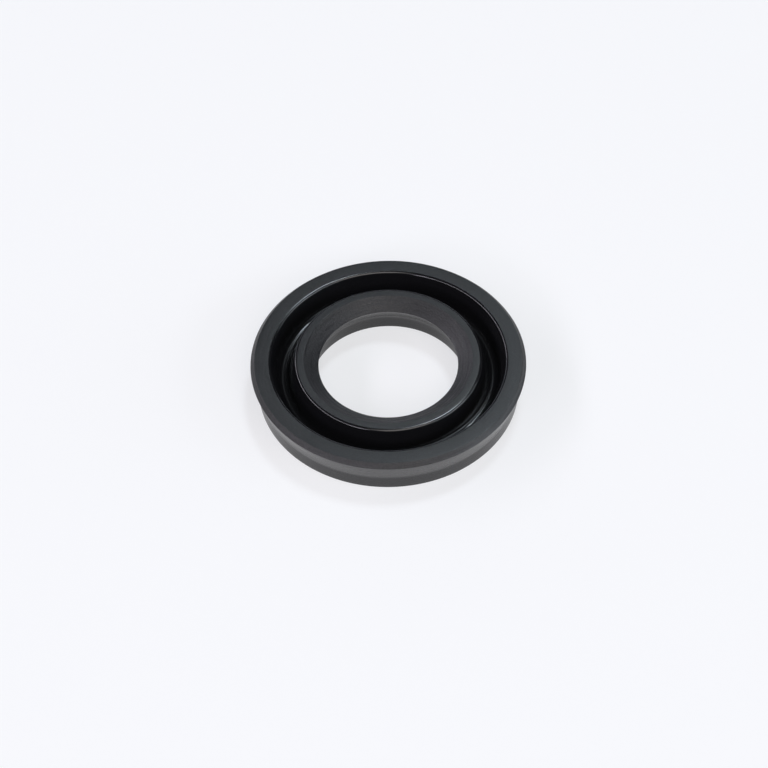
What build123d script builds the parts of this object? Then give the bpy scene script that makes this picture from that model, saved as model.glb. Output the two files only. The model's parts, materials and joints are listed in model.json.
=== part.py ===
from build123d import *

import os

# U-cup lip seal: one rubber ring with its open side up, in millimetres.
#
# The ring closes the gap between a round rod and the cylinder round it. Its heel is a plain rectangular
# back. Above the heel it splits into two lips with a groove between them, and pressure in the groove
# spreads the lips against the rod and the cylinder.
#
# The origin is on the ring's axis, in the plane of the heel's face, and +Z points out of the groove.

# The hardware that the seal works between
cylinder_d = 40.0
rod_d = 22.0

# Heel: it clears both walls
heel_gap_outside = 0.42  # radial gap to the cylinder
heel_gap_inside = 0.72  # radial gap to the rod
heel_wall_outside = 2.3  # height of the plain wall below the outer lip's flare
heel_wall_inside = 2.3  # height of the plain wall below the inner lip's flare
heel_edge_bevel = 0.15  # both lower edges are broken this much

# Lips: relaxed, they stand into both walls, and their sealing edges are left sharp
lip_squeeze_outside = 0.50  # radial interference with the cylinder
lip_squeeze_inside = 0.62  # radial interference with the rod
height = 6.1  # heel's face to the lips' top faces
outer_edge_drop = 0.7  # the outer sealing edge lies this far below the top
outer_bevel_width = 0.6  # radial width of the bevel above it
inner_edge_drop = 1.3  # the same two sizes of the inner lip
inner_bevel_width = 2.2

# Groove between the lips: two walls that lean alike, with a round bottom between them
groove_shift = 0.26  # its middle lies this far outside the middle between the sealing edges
groove_depth = 3.6
groove_bottom_r = 0.8  # radius of the round bottom
groove_draft = 19.0  # degrees that each wall leans from upright
mouth_edge_bevel = 0.25  # both upper edges are broken this much

heel_outside_r = cylinder_d / 2 - heel_gap_outside
heel_inside_r = rod_d / 2 + heel_gap_inside
outer_lip_r = cylinder_d / 2 + lip_squeeze_outside
inner_lip_r = rod_d / 2 - lip_squeeze_inside
groove_r = (outer_lip_r + inner_lip_r) / 2 + groove_shift

with BuildPart() as u_cup_seal:
    with BuildSketch(Plane.XZ) as section:
        # The ring without its groove, once round from the heel's inner lower edge
        with BuildLine():
            Polyline(
                (heel_inside_r, 0),
                (heel_outside_r, 0),
                (heel_outside_r, heel_wall_outside),
                (outer_lip_r, height - outer_edge_drop),
                (outer_lip_r - outer_bevel_width, height),
                (inner_lip_r + inner_bevel_width, height),
                (inner_lip_r, height - inner_edge_drop),
                (heel_inside_r, heel_wall_inside),
                close=True,
            )
        make_face()
        heel_corners = section.vertices().group_by(Axis.Y)[0]
        chamfer(heel_corners, heel_edge_bevel)

        # The groove: a round bottom with a straight wall tangent to each end of it
        with BuildLine():
            bottom = CenterArc(
                (groove_r, height - groove_depth + groove_bottom_r),
                groove_bottom_r,
                180 + groove_draft,
                180 - 2 * groove_draft,
            )
            outer_wall = PolarLine(
                bottom @ 1, groove_depth, direction=bottom % 1, length_mode=LengthMode.VERTICAL
            )
            inner_wall = PolarLine(
                bottom @ 0, groove_depth, direction=-(bottom % 0), length_mode=LengthMode.VERTICAL
            )
            Line(inner_wall @ 1, outer_wall @ 1)
        make_face(mode=Mode.SUBTRACT)
        top_corners = section.vertices().group_by(Axis.Y)[-1].sort_by(Axis.X)
        mouth_corners = top_corners[1:3]
        chamfer(mouth_corners, mouth_edge_bevel)
    revolve(axis=Axis.Z)

u_cup_seal.part.label = "u_cup_seal"
os.makedirs("parts", exist_ok=True)
export_step(u_cup_seal.part, "parts/u_cup_seal.step")
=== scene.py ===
import json
from math import cos, pi, radians, sin, tan

import bpy
import numpy as np
from mathutils import Matrix, Vector


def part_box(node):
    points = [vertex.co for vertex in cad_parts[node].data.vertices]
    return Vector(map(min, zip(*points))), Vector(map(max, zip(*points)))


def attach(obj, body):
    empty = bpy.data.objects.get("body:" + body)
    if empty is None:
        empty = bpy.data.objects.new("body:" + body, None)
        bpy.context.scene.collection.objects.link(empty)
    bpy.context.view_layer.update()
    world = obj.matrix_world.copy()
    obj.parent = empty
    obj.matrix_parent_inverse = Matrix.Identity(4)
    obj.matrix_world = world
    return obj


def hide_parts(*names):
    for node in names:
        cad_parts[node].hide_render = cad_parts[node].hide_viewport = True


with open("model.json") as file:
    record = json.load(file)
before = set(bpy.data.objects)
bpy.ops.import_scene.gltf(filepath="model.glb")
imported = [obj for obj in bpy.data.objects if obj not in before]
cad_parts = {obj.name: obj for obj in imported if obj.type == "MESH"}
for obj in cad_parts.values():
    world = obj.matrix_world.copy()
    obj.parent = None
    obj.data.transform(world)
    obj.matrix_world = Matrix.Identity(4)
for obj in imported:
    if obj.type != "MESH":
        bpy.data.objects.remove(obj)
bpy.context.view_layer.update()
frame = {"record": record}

mm = 0.001
micrometre = 0.000001
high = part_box("u_cup_seal")[1]
mounts = {m["name"]: m for m in frame["record"]["mounts"]}

# The ring: lengths in millimetres, angles in degrees. Its outer size and height come from the frame.
ringShape = {
    "heelWallOutside": 2.3,  # plain wall up to the outer lip's flare
    "heelWallInside": 2.3,
    "outerEdgeDrop": 0.7,  # the sealing edge lies this far below the top
    "outerBevelWidth": 0.6,
    "innerEdgeDrop": 1.3,
    "innerBevelWidth": 2.2,
    "grooveShift": 0.26,  # the groove's middle, outwards from the middle between the sealing edges
    "grooveDepth": 3.6,
    "grooveBottomRound": 0.8,
    "grooveDraft": 19.0,
    "heelEdgeRound": 0.15,
    "flareRound": 2.0,
    "sealingEdgeRound": 0.04,
    "bevelEdgeRound": 0.08,
    "mouthEdgeRound": 0.42,
    "stepsAround": 720,
    "stepsPerRound": 9,
    "stepsPerFace": 3,
}


def sectionCorners(shape):
    # Each corner is (radius, height, edge round), once round the section from the heel's inner lower edge.
    # The groove is one corner where its two leaning walls would meet, at round / sin(draft) below the middle
    # of the circle that rounds it, and each wall moves out by its height above that corner times tan(draft).
    heelIn = mounts["heel_bore"]["dims"]["r_mm"]
    heelOut = mounts["heel_outside"]["dims"]["r_mm"]
    lipIn = mounts["rod_lip"]["dims"]["r_mm"]
    lipOut = high.x / mm
    top = high.z / mm
    s = shape
    draft = radians(s["grooveDraft"])
    middle = (lipIn + lipOut) / 2 + s["grooveShift"]
    apex = top - s["grooveDepth"] + s["grooveBottomRound"] - s["grooveBottomRound"] / sin(draft)
    halfMouth = (top - apex) * tan(draft)
    return np.array([
        (heelIn, 0, s["heelEdgeRound"]),
        (heelOut, 0, s["heelEdgeRound"]),
        (heelOut, s["heelWallOutside"], s["flareRound"]),
        (lipOut, top - s["outerEdgeDrop"], s["sealingEdgeRound"]),
        (lipOut - s["outerBevelWidth"], top, s["bevelEdgeRound"]),
        (middle + halfMouth, top, s["mouthEdgeRound"]),
        (middle, apex, s["grooveBottomRound"]),
        (middle - halfMouth, top, s["mouthEdgeRound"]),
        (lipIn + s["innerBevelWidth"], top, s["bevelEdgeRound"]),
        (lipIn, top - s["innerEdgeDrop"], s["sealingEdgeRound"]),
        (heelIn, s["heelWallInside"], s["flareRound"]),
    ])


def roundedSection(corners, perRound, perFace):
    # Every corner becomes an arc tangent to its two sides: the arc starts round / tan(half angle) along each
    # side, and its centre stands round / sin(half angle) from the corner on the bisector.
    # Returns the points and, for each, its corner's number, or that plus a half on the face after it.
    point, radius = corners[:, :2], corners[:, 2]
    back = np.roll(point, 1, 0) - point
    ahead = np.roll(point, -1, 0) - point
    back /= np.linalg.norm(back, axis=1)[:, None]
    ahead /= np.linalg.norm(ahead, axis=1)[:, None]
    half = np.arccos(np.clip((back * ahead).sum(1), -1, 1)) / 2
    middle = back + ahead
    middle /= np.linalg.norm(middle, axis=1)[:, None]
    centre = point + middle * (radius / np.sin(half))[:, None]
    start = point + back * (radius / np.tan(half))[:, None] - centre
    end = point + ahead * (radius / np.tan(half))[:, None] - centre
    a, b = np.arctan2(start[:, 1], start[:, 0]), np.arctan2(end[:, 1], end[:, 0])
    turn = (b - a + pi) % (2 * pi) - pi
    along = np.linspace(0, 1, perRound + 1)
    angle = a[:, None] + turn[:, None] * along
    arc = centre[:, None] + radius[:, None, None] * np.stack([np.cos(angle), np.sin(angle)], 2)
    share = np.arange(1, perFace) / perFace
    leave, reach = arc[:, -1][:, None], np.roll(arc[:, 0], -1, 0)[:, None]
    face = leave + (reach - leave) * share[None, :, None]
    number = np.arange(len(corners))[:, None]
    points = np.concatenate([arc, face], 1).reshape(-1, 2)
    places = np.concatenate([np.repeat(number, perRound, 1), np.repeat(number + 0.5, perFace, 1)], 1).ravel()
    return points, places


def sectionLengths(section):
    # How far round the section each point is from the first, and last of all the whole way round.
    steps = np.linalg.norm(np.roll(section, -1, 0) - section, axis=1)
    return np.concatenate([[0], np.cumsum(steps)])


def ringMesh(name, section, stepsAround, slotOfPoint):
    # The section is carried round the Z axis: x = r cos(angle), y = r sin(angle), z = height.
    # Quads join each section point to the next and each step to the next.
    # Both ways the last meets the first.
    angle = np.arange(stepsAround) * 2 * pi / stepsAround
    r, z = section[:, 0] * mm, section[:, 1] * mm
    x, y = np.outer(np.cos(angle), r), np.outer(np.sin(angle), r)
    places = np.stack([x, y, np.broadcast_to(z, x.shape)], 2).reshape(-1, 3)
    count = len(section)
    i, j = np.meshgrid(np.arange(stepsAround), np.arange(count), indexing="ij")
    iNext, jNext = (i + 1) % stepsAround, (j + 1) % count
    quads = np.stack([i * count + j, iNext * count + j, iNext * count + jNext, i * count + jNext], 2)
    mesh = bpy.data.meshes.new(name)
    mesh.vertices.add(len(places))
    mesh.vertices.foreach_set("co", places.ravel().astype(np.float32))
    mesh.loops.add(quads.size)
    mesh.loops.foreach_set("vertex_index", quads.ravel().astype(np.int32))
    mesh.polygons.add(quads.size // 4)
    mesh.polygons.foreach_set("loop_start", np.arange(0, quads.size, 4, dtype=np.int32))
    mesh.polygons.foreach_set("use_smooth", np.ones(quads.size // 4, bool))
    mesh.polygons.foreach_set("material_index", np.tile(slotOfPoint, stepsAround).astype(np.int32))

    # Each quad's four corners, as a share of the turn and as millimetres round the section
    around = np.stack([i, i + 1, i + 1, i], 2) / stepsAround
    lengths = sectionLengths(section)
    along = np.stack([lengths[j], lengths[j], lengths[j + 1], lengths[j + 1]], 2)
    turned = mesh.uv_layers.new(name="Turned")
    turned.data.foreach_set("uv", np.stack([around, along], 3).ravel().astype(np.float32))

    # The OFBake map lays the ring out cut in two halves, one above the other, with a small margin between
    # them:
    # across = twice the share of the turn, up = (the half's number + share of the section) / 2.
    half = (2 * i // stepsAround)[:, :, None]
    margin = 0.004
    across = margin + (1 - 2 * margin) * (2 * around - half)
    up = (half + margin + (1 - 2 * margin) * along / lengths[-1]) / 2
    baked = mesh.uv_layers.new(name="OFBake")
    baked.data.foreach_set("uv", np.stack([across, up], 3).ravel().astype(np.float32))
    mesh.update(calc_edges=True)
    mesh.validate()
    return mesh


# The finish from each corner of the section on, up to the corner of the next entry
zones = [
    (0, "heelFace"), (1.5, "wall"), (3, "bevel"), (4, "top"),
    (5, "groove"), (7.5, "top"), (8, "bevel"), (9, "wall"),
]
# Each finish: the black of the rubber and of the palest mottle on it, roughness and how far it varies, and
# the depth in micrometres and size in millimetres of the turned lines and of the grain
finishes = {
    "heelFace": {
        "colour": (0.006, 0.0062, 0.007), "mottle": (0.012, 0.012, 0.013), "roughness": 0.5, "varies": 0.08,
        "lines": (8, 0.30), "grain": (15, 0.25),
    },
    "wall": {
        "colour": (0.006, 0.0062, 0.007), "mottle": (0.010, 0.010, 0.011), "roughness": 0.28, "varies": 0.05,
        "lines": (4, 0.35), "grain": (9, 0.30),
    },
    "bevel": {
        "colour": (0.006, 0.0062, 0.007), "mottle": (0.016, 0.015, 0.017), "roughness": 0.52, "varies": 0.14,
        "lines": (22, 0.32), "grain": (65, 0.28),
    },
    "top": {
        "colour": (0.006, 0.0062, 0.007), "mottle": (0.012, 0.0125, 0.013), "roughness": 0.42, "varies": 0.08,
        "lines": (10, 0.25), "grain": (30, 0.25),
    },
    "groove": {
        "colour": (0.005, 0.0052, 0.006), "mottle": (0.006, 0.006, 0.007), "roughness": 0.18, "varies": 0.03,
        "lines": (1.5, 0.40), "grain": (1.5, 0.30),
    },
}
specularLevel = 0.67  # a third above the shader's default, so that the lamps can stay at a plain level
noiseDetail = 2  # finer layers in the lines and the grain
lineWander = 2  # how much the lines change on the way round the ring

section, placeOfPoint = roundedSection(
    sectionCorners(ringShape), ringShape["stepsPerRound"], ringShape["stepsPerFace"]
)
zoneStart = np.array([start for start, name in zones])
zoneOfPoint = np.searchsorted(zoneStart, placeOfPoint, side="right") - 1
slotNames = list(finishes)
slotOfPoint = np.array([slotNames.index(name) for start, name in zones])[zoneOfPoint]
mesh = ringMesh("seal_ring", section, ringShape["stepsAround"], slotOfPoint)
ring = bpy.data.objects.new("seal_ring", mesh)
bpy.context.scene.collection.objects.link(ring)
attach(ring, "root")
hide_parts("u_cup_seal")
print(f"ring: {len(mesh.vertices)} points, {len(mesh.polygons)} quads")



def addNode(tree, kind, settings=(), inputs=()):
    # Makes one node. An input given as a node's output is linked and any other value is set.
    node = tree.nodes.new(kind)
    for setting, value in dict(settings).items():
        setattr(node, setting, value)
    for socket, value in dict(inputs).items():
        if isinstance(value, bpy.types.NodeSocket):
            tree.links.new(value, node.inputs[socket])
        else:
            node.inputs[socket].default_value = value
    return node


def rubberMaterial(name, finish):
    rubber = bpy.data.materials.new(name)
    rubber.use_nodes = True
    tree = rubber.node_tree
    shader = tree.nodes["Principled BSDF"]
    place = addNode(tree, "ShaderNodeTexCoord").outputs["Object"]

    # Turned lines: noise over (line wander * direction from the axis, section length / line size), so that it
    # changes fast across the section and slowly round the ring
    flat = addNode(tree, "ShaderNodeVectorMath", {"operation": "MULTIPLY"}, {0: place, 1: (1, 1, 0)})
    facing = addNode(tree, "ShaderNodeVectorMath", {"operation": "NORMALIZE"}, {0: flat.outputs[0]})
    wander = addNode(
        tree, "ShaderNodeVectorMath", {"operation": "MULTIPLY"},
        {0: facing.outputs[0], 1: (lineWander, lineWander, 0)},
    )
    turned = addNode(tree, "ShaderNodeUVMap", {"uv_map": "Turned"}).outputs["UV"]
    across = addNode(tree, "ShaderNodeSeparateXYZ", (), {0: turned}).outputs["Y"]
    lineDepth, lineSize = finish["lines"]
    scaled = addNode(tree, "ShaderNodeMath", {"operation": "DIVIDE"}, {0: across, 1: lineSize})
    upwards = addNode(tree, "ShaderNodeCombineXYZ", (), {"Z": scaled.outputs[0]})
    domain = addNode(
        tree, "ShaderNodeVectorMath", {"operation": "ADD"}, {0: wander.outputs[0], 1: upwards.outputs[0]}
    )
    lines = addNode(
        tree, "ShaderNodeTexNoise", (), {"Vector": domain.outputs[0], "Scale": 1, "Detail": noiseDetail}
    )

    # Grain: noise in space, with its scale = 1 / grain size
    grainDepth, grainSize = finish["grain"]
    grain = addNode(
        tree, "ShaderNodeTexNoise", (),
        {"Vector": place, "Scale": 1 / (grainSize * mm), "Detail": noiseDetail},
    )

    # Height = line depth * lines + grain depth * grain
    lineHeight = addNode(
        tree, "ShaderNodeMath", {"operation": "MULTIPLY"}, {0: lines.outputs[0], 1: lineDepth * micrometre}
    )
    height = addNode(
        tree, "ShaderNodeMath", {"operation": "MULTIPLY_ADD"},
        {0: grain.outputs[0], 1: grainDepth * micrometre, 2: lineHeight.outputs[0]},
    )
    bump = addNode(tree, "ShaderNodeBump", (), {"Strength": 1, "Distance": 1, "Height": height.outputs[0]})
    tree.links.new(bump.outputs["Normal"], shader.inputs["Normal"])

    # Roughness varies with the lines and the colour with the grain
    smoothest = finish["roughness"] - finish["varies"]
    roughest = finish["roughness"] + finish["varies"]
    rough = addNode(
        tree, "ShaderNodeMapRange", (),
        {
            "Value": lines.outputs[0],
            "From Min": 0.3,
            "From Max": 0.7,
            "To Min": smoothest,
            "To Max": roughest,
        },
    )
    tree.links.new(rough.outputs[0], shader.inputs["Roughness"])
    mottle = addNode(
        tree, "ShaderNodeMapRange", (), {"Value": grain.outputs[0], "From Min": 0.35, "From Max": 0.75}
    )
    colour = addNode(
        tree, "ShaderNodeMix", {"data_type": "RGBA"},
        {"Factor": mottle.outputs[0], 6: (*finish["colour"], 1), 7: (*finish["mottle"], 1)},
    )
    tree.links.new(colour.outputs[2], shader.inputs["Base Color"])
    shader.inputs["Specular IOR Level"].default_value = specularLevel
    return rubber


for name, finish in finishes.items():
    mesh.materials.append(rubberMaterial(name, finish))
print(f"finishes: {', '.join(finishes)}")

floorMesh = bpy.data.meshes.new("floor")
reach = 3  # half of the floor's side, in metres
floorCorners = [(-reach, -reach, 0), (reach, -reach, 0), (reach, reach, 0), (-reach, reach, 0)]
floorMesh.from_pydata(floorCorners, [], [(0, 1, 2, 3)])
floor = bpy.data.objects.new("floor", floorMesh)
bpy.context.scene.collection.objects.link(floor)
white = bpy.data.materials.new("floorWhite")
white.use_nodes = True
floorShader = white.node_tree.nodes["Principled BSDF"]
floorShader.inputs["Base Color"].default_value = (0.94, 0.945, 0.96, 1)
floorShader.inputs["Roughness"].default_value = 0.9
floorShader.inputs["Specular IOR Level"].default_value = 0.0
floorMesh.materials.append(white)

# What the camera and reflections see of the floor is this share plain white, and the rest keeps its shadow
whiteShare = 0.62
floorTree = white.node_tree
rays = addNode(floorTree, "ShaderNodeLightPath")
seen = addNode(
    floorTree, "ShaderNodeMath", {"operation": "ADD", "use_clamp": True},
    {0: rays.outputs["Is Camera Ray"], 1: rays.outputs["Is Glossy Ray"]},
)
seen = addNode(
    floorTree, "ShaderNodeMath", {"operation": "ADD", "use_clamp": True},
    {0: seen.outputs[0], 1: rays.outputs["Is Transmission Ray"]},
)
share = addNode(floorTree, "ShaderNodeMath", {"operation": "MULTIPLY"}, {0: seen.outputs[0], 1: whiteShare})
glow = addNode(floorTree, "ShaderNodeEmission", (), {"Color": (0.955, 0.963, 0.98, 1), "Strength": 1})
mixed = addNode(
    floorTree, "ShaderNodeMixShader", (),
    {0: share.outputs[0], 1: floorShader.outputs[0], 2: glow.outputs[0]},
)
floorTree.links.new(mixed.outputs[0], floorTree.nodes["Material Output"].inputs["Surface"])

# Soft lamps at one distance all round: degrees of azimuth and elevation, half of the width and height
# that each fills as seen from the ring, also in degrees, and its brightness, where 1 is white
lamps = {
    "front": {"azimuth": -71, "elevation": 49, "half": (23, 22), "brightness": (2.25, 2.14, 2.1)},
    "backTop": {"azimuth": 65, "elevation": 64.5, "half": (4.8, 6.3), "brightness": (19.5, 21.8, 23.5)},
    "left": {"azimuth": 178, "elevation": 33.3, "half": (40.5, 4.4), "brightness": (6.8, 6.5, 7.2)},
    "nearLeft": {"azimuth": 236, "elevation": 25.3, "half": (9.2, 5), "brightness": (9.2, 8.8, 10.0)},
    "rightLow": {"azimuth": -7.5, "elevation": 12, "half": (24, 5), "brightness": (3.6, 4.0, 4.4)},
    "nearRight": {"azimuth": -22.4, "elevation": 25.1, "half": (20.5, 5), "brightness": (4.8, 5.1, 5.6)},
    "backLow": {"azimuth": 102, "elevation": 11.2, "half": (40, 4.9), "brightness": (1.4, 1.5, 1.7)},
}
lampDistance = 1.2


def addLamp(name, lamp):
    # A rectangle that faces the ring: width and height = 2 distance tan(half), power = pi area brightness.
    width, height = (2 * lampDistance * tan(radians(h)) for h in lamp["half"])
    brightness = max(lamp["brightness"])
    data = bpy.data.lights.new(name, "AREA")
    data.shape = "RECTANGLE"
    data.size, data.size_y = width, height
    data.energy = pi * width * height * brightness
    data.color = [c / brightness for c in lamp["brightness"]]
    lampObject = bpy.data.objects.new(name, data)
    az, el = radians(lamp["azimuth"]), radians(lamp["elevation"])
    toLamp = Vector((cos(el) * cos(az), cos(el) * sin(az), sin(el)))
    lampObject.location = toLamp * lampDistance
    lampObject.rotation_euler = toLamp.to_track_quat("Z", "Y").to_euler()
    lampObject.visible_camera = False
    bpy.context.scene.collection.objects.link(lampObject)


for name, lamp in lamps.items():
    addLamp(name, lamp)
print(f"lamps: {len(lamps)}")

fillLight = 0.02  # what comes from all round besides the lamps
world = bpy.data.worlds.new("studio")
bpy.context.scene.world = world
world.use_nodes = True
world.node_tree.nodes["Background"].inputs["Color"].default_value = (1, 1, 1, 1)
world.node_tree.nodes["Background"].inputs["Strength"].default_value = fillLight

view = {
    "distance": 0.3204,  # from the aim point, in metres
    "elevation": 49.617,  # degrees above the floor
    "roll": -1.203,
    "aim": (-0.00070, 0.00010),
    "lens": 99.67,
}
camera = bpy.data.objects.new("camera", bpy.data.cameras.new("camera"))
bpy.context.scene.collection.objects.link(camera)
lift = radians(view["elevation"])
aimX, aimY = view["aim"]
camera.location = (aimX, aimY - view["distance"] * cos(lift), view["distance"] * sin(lift))
turn = Matrix.Rotation(pi / 2 - lift, 4, "X") @ Matrix.Rotation(radians(view["roll"]), 4, "Z")
camera.rotation_euler = turn.to_euler()
camera.data.lens = view["lens"]
camera.data.sensor_width = 36
camera.data.clip_start = 0.01
bpy.context.scene.camera = camera

bpy.context.scene.view_settings.view_transform = "Standard"
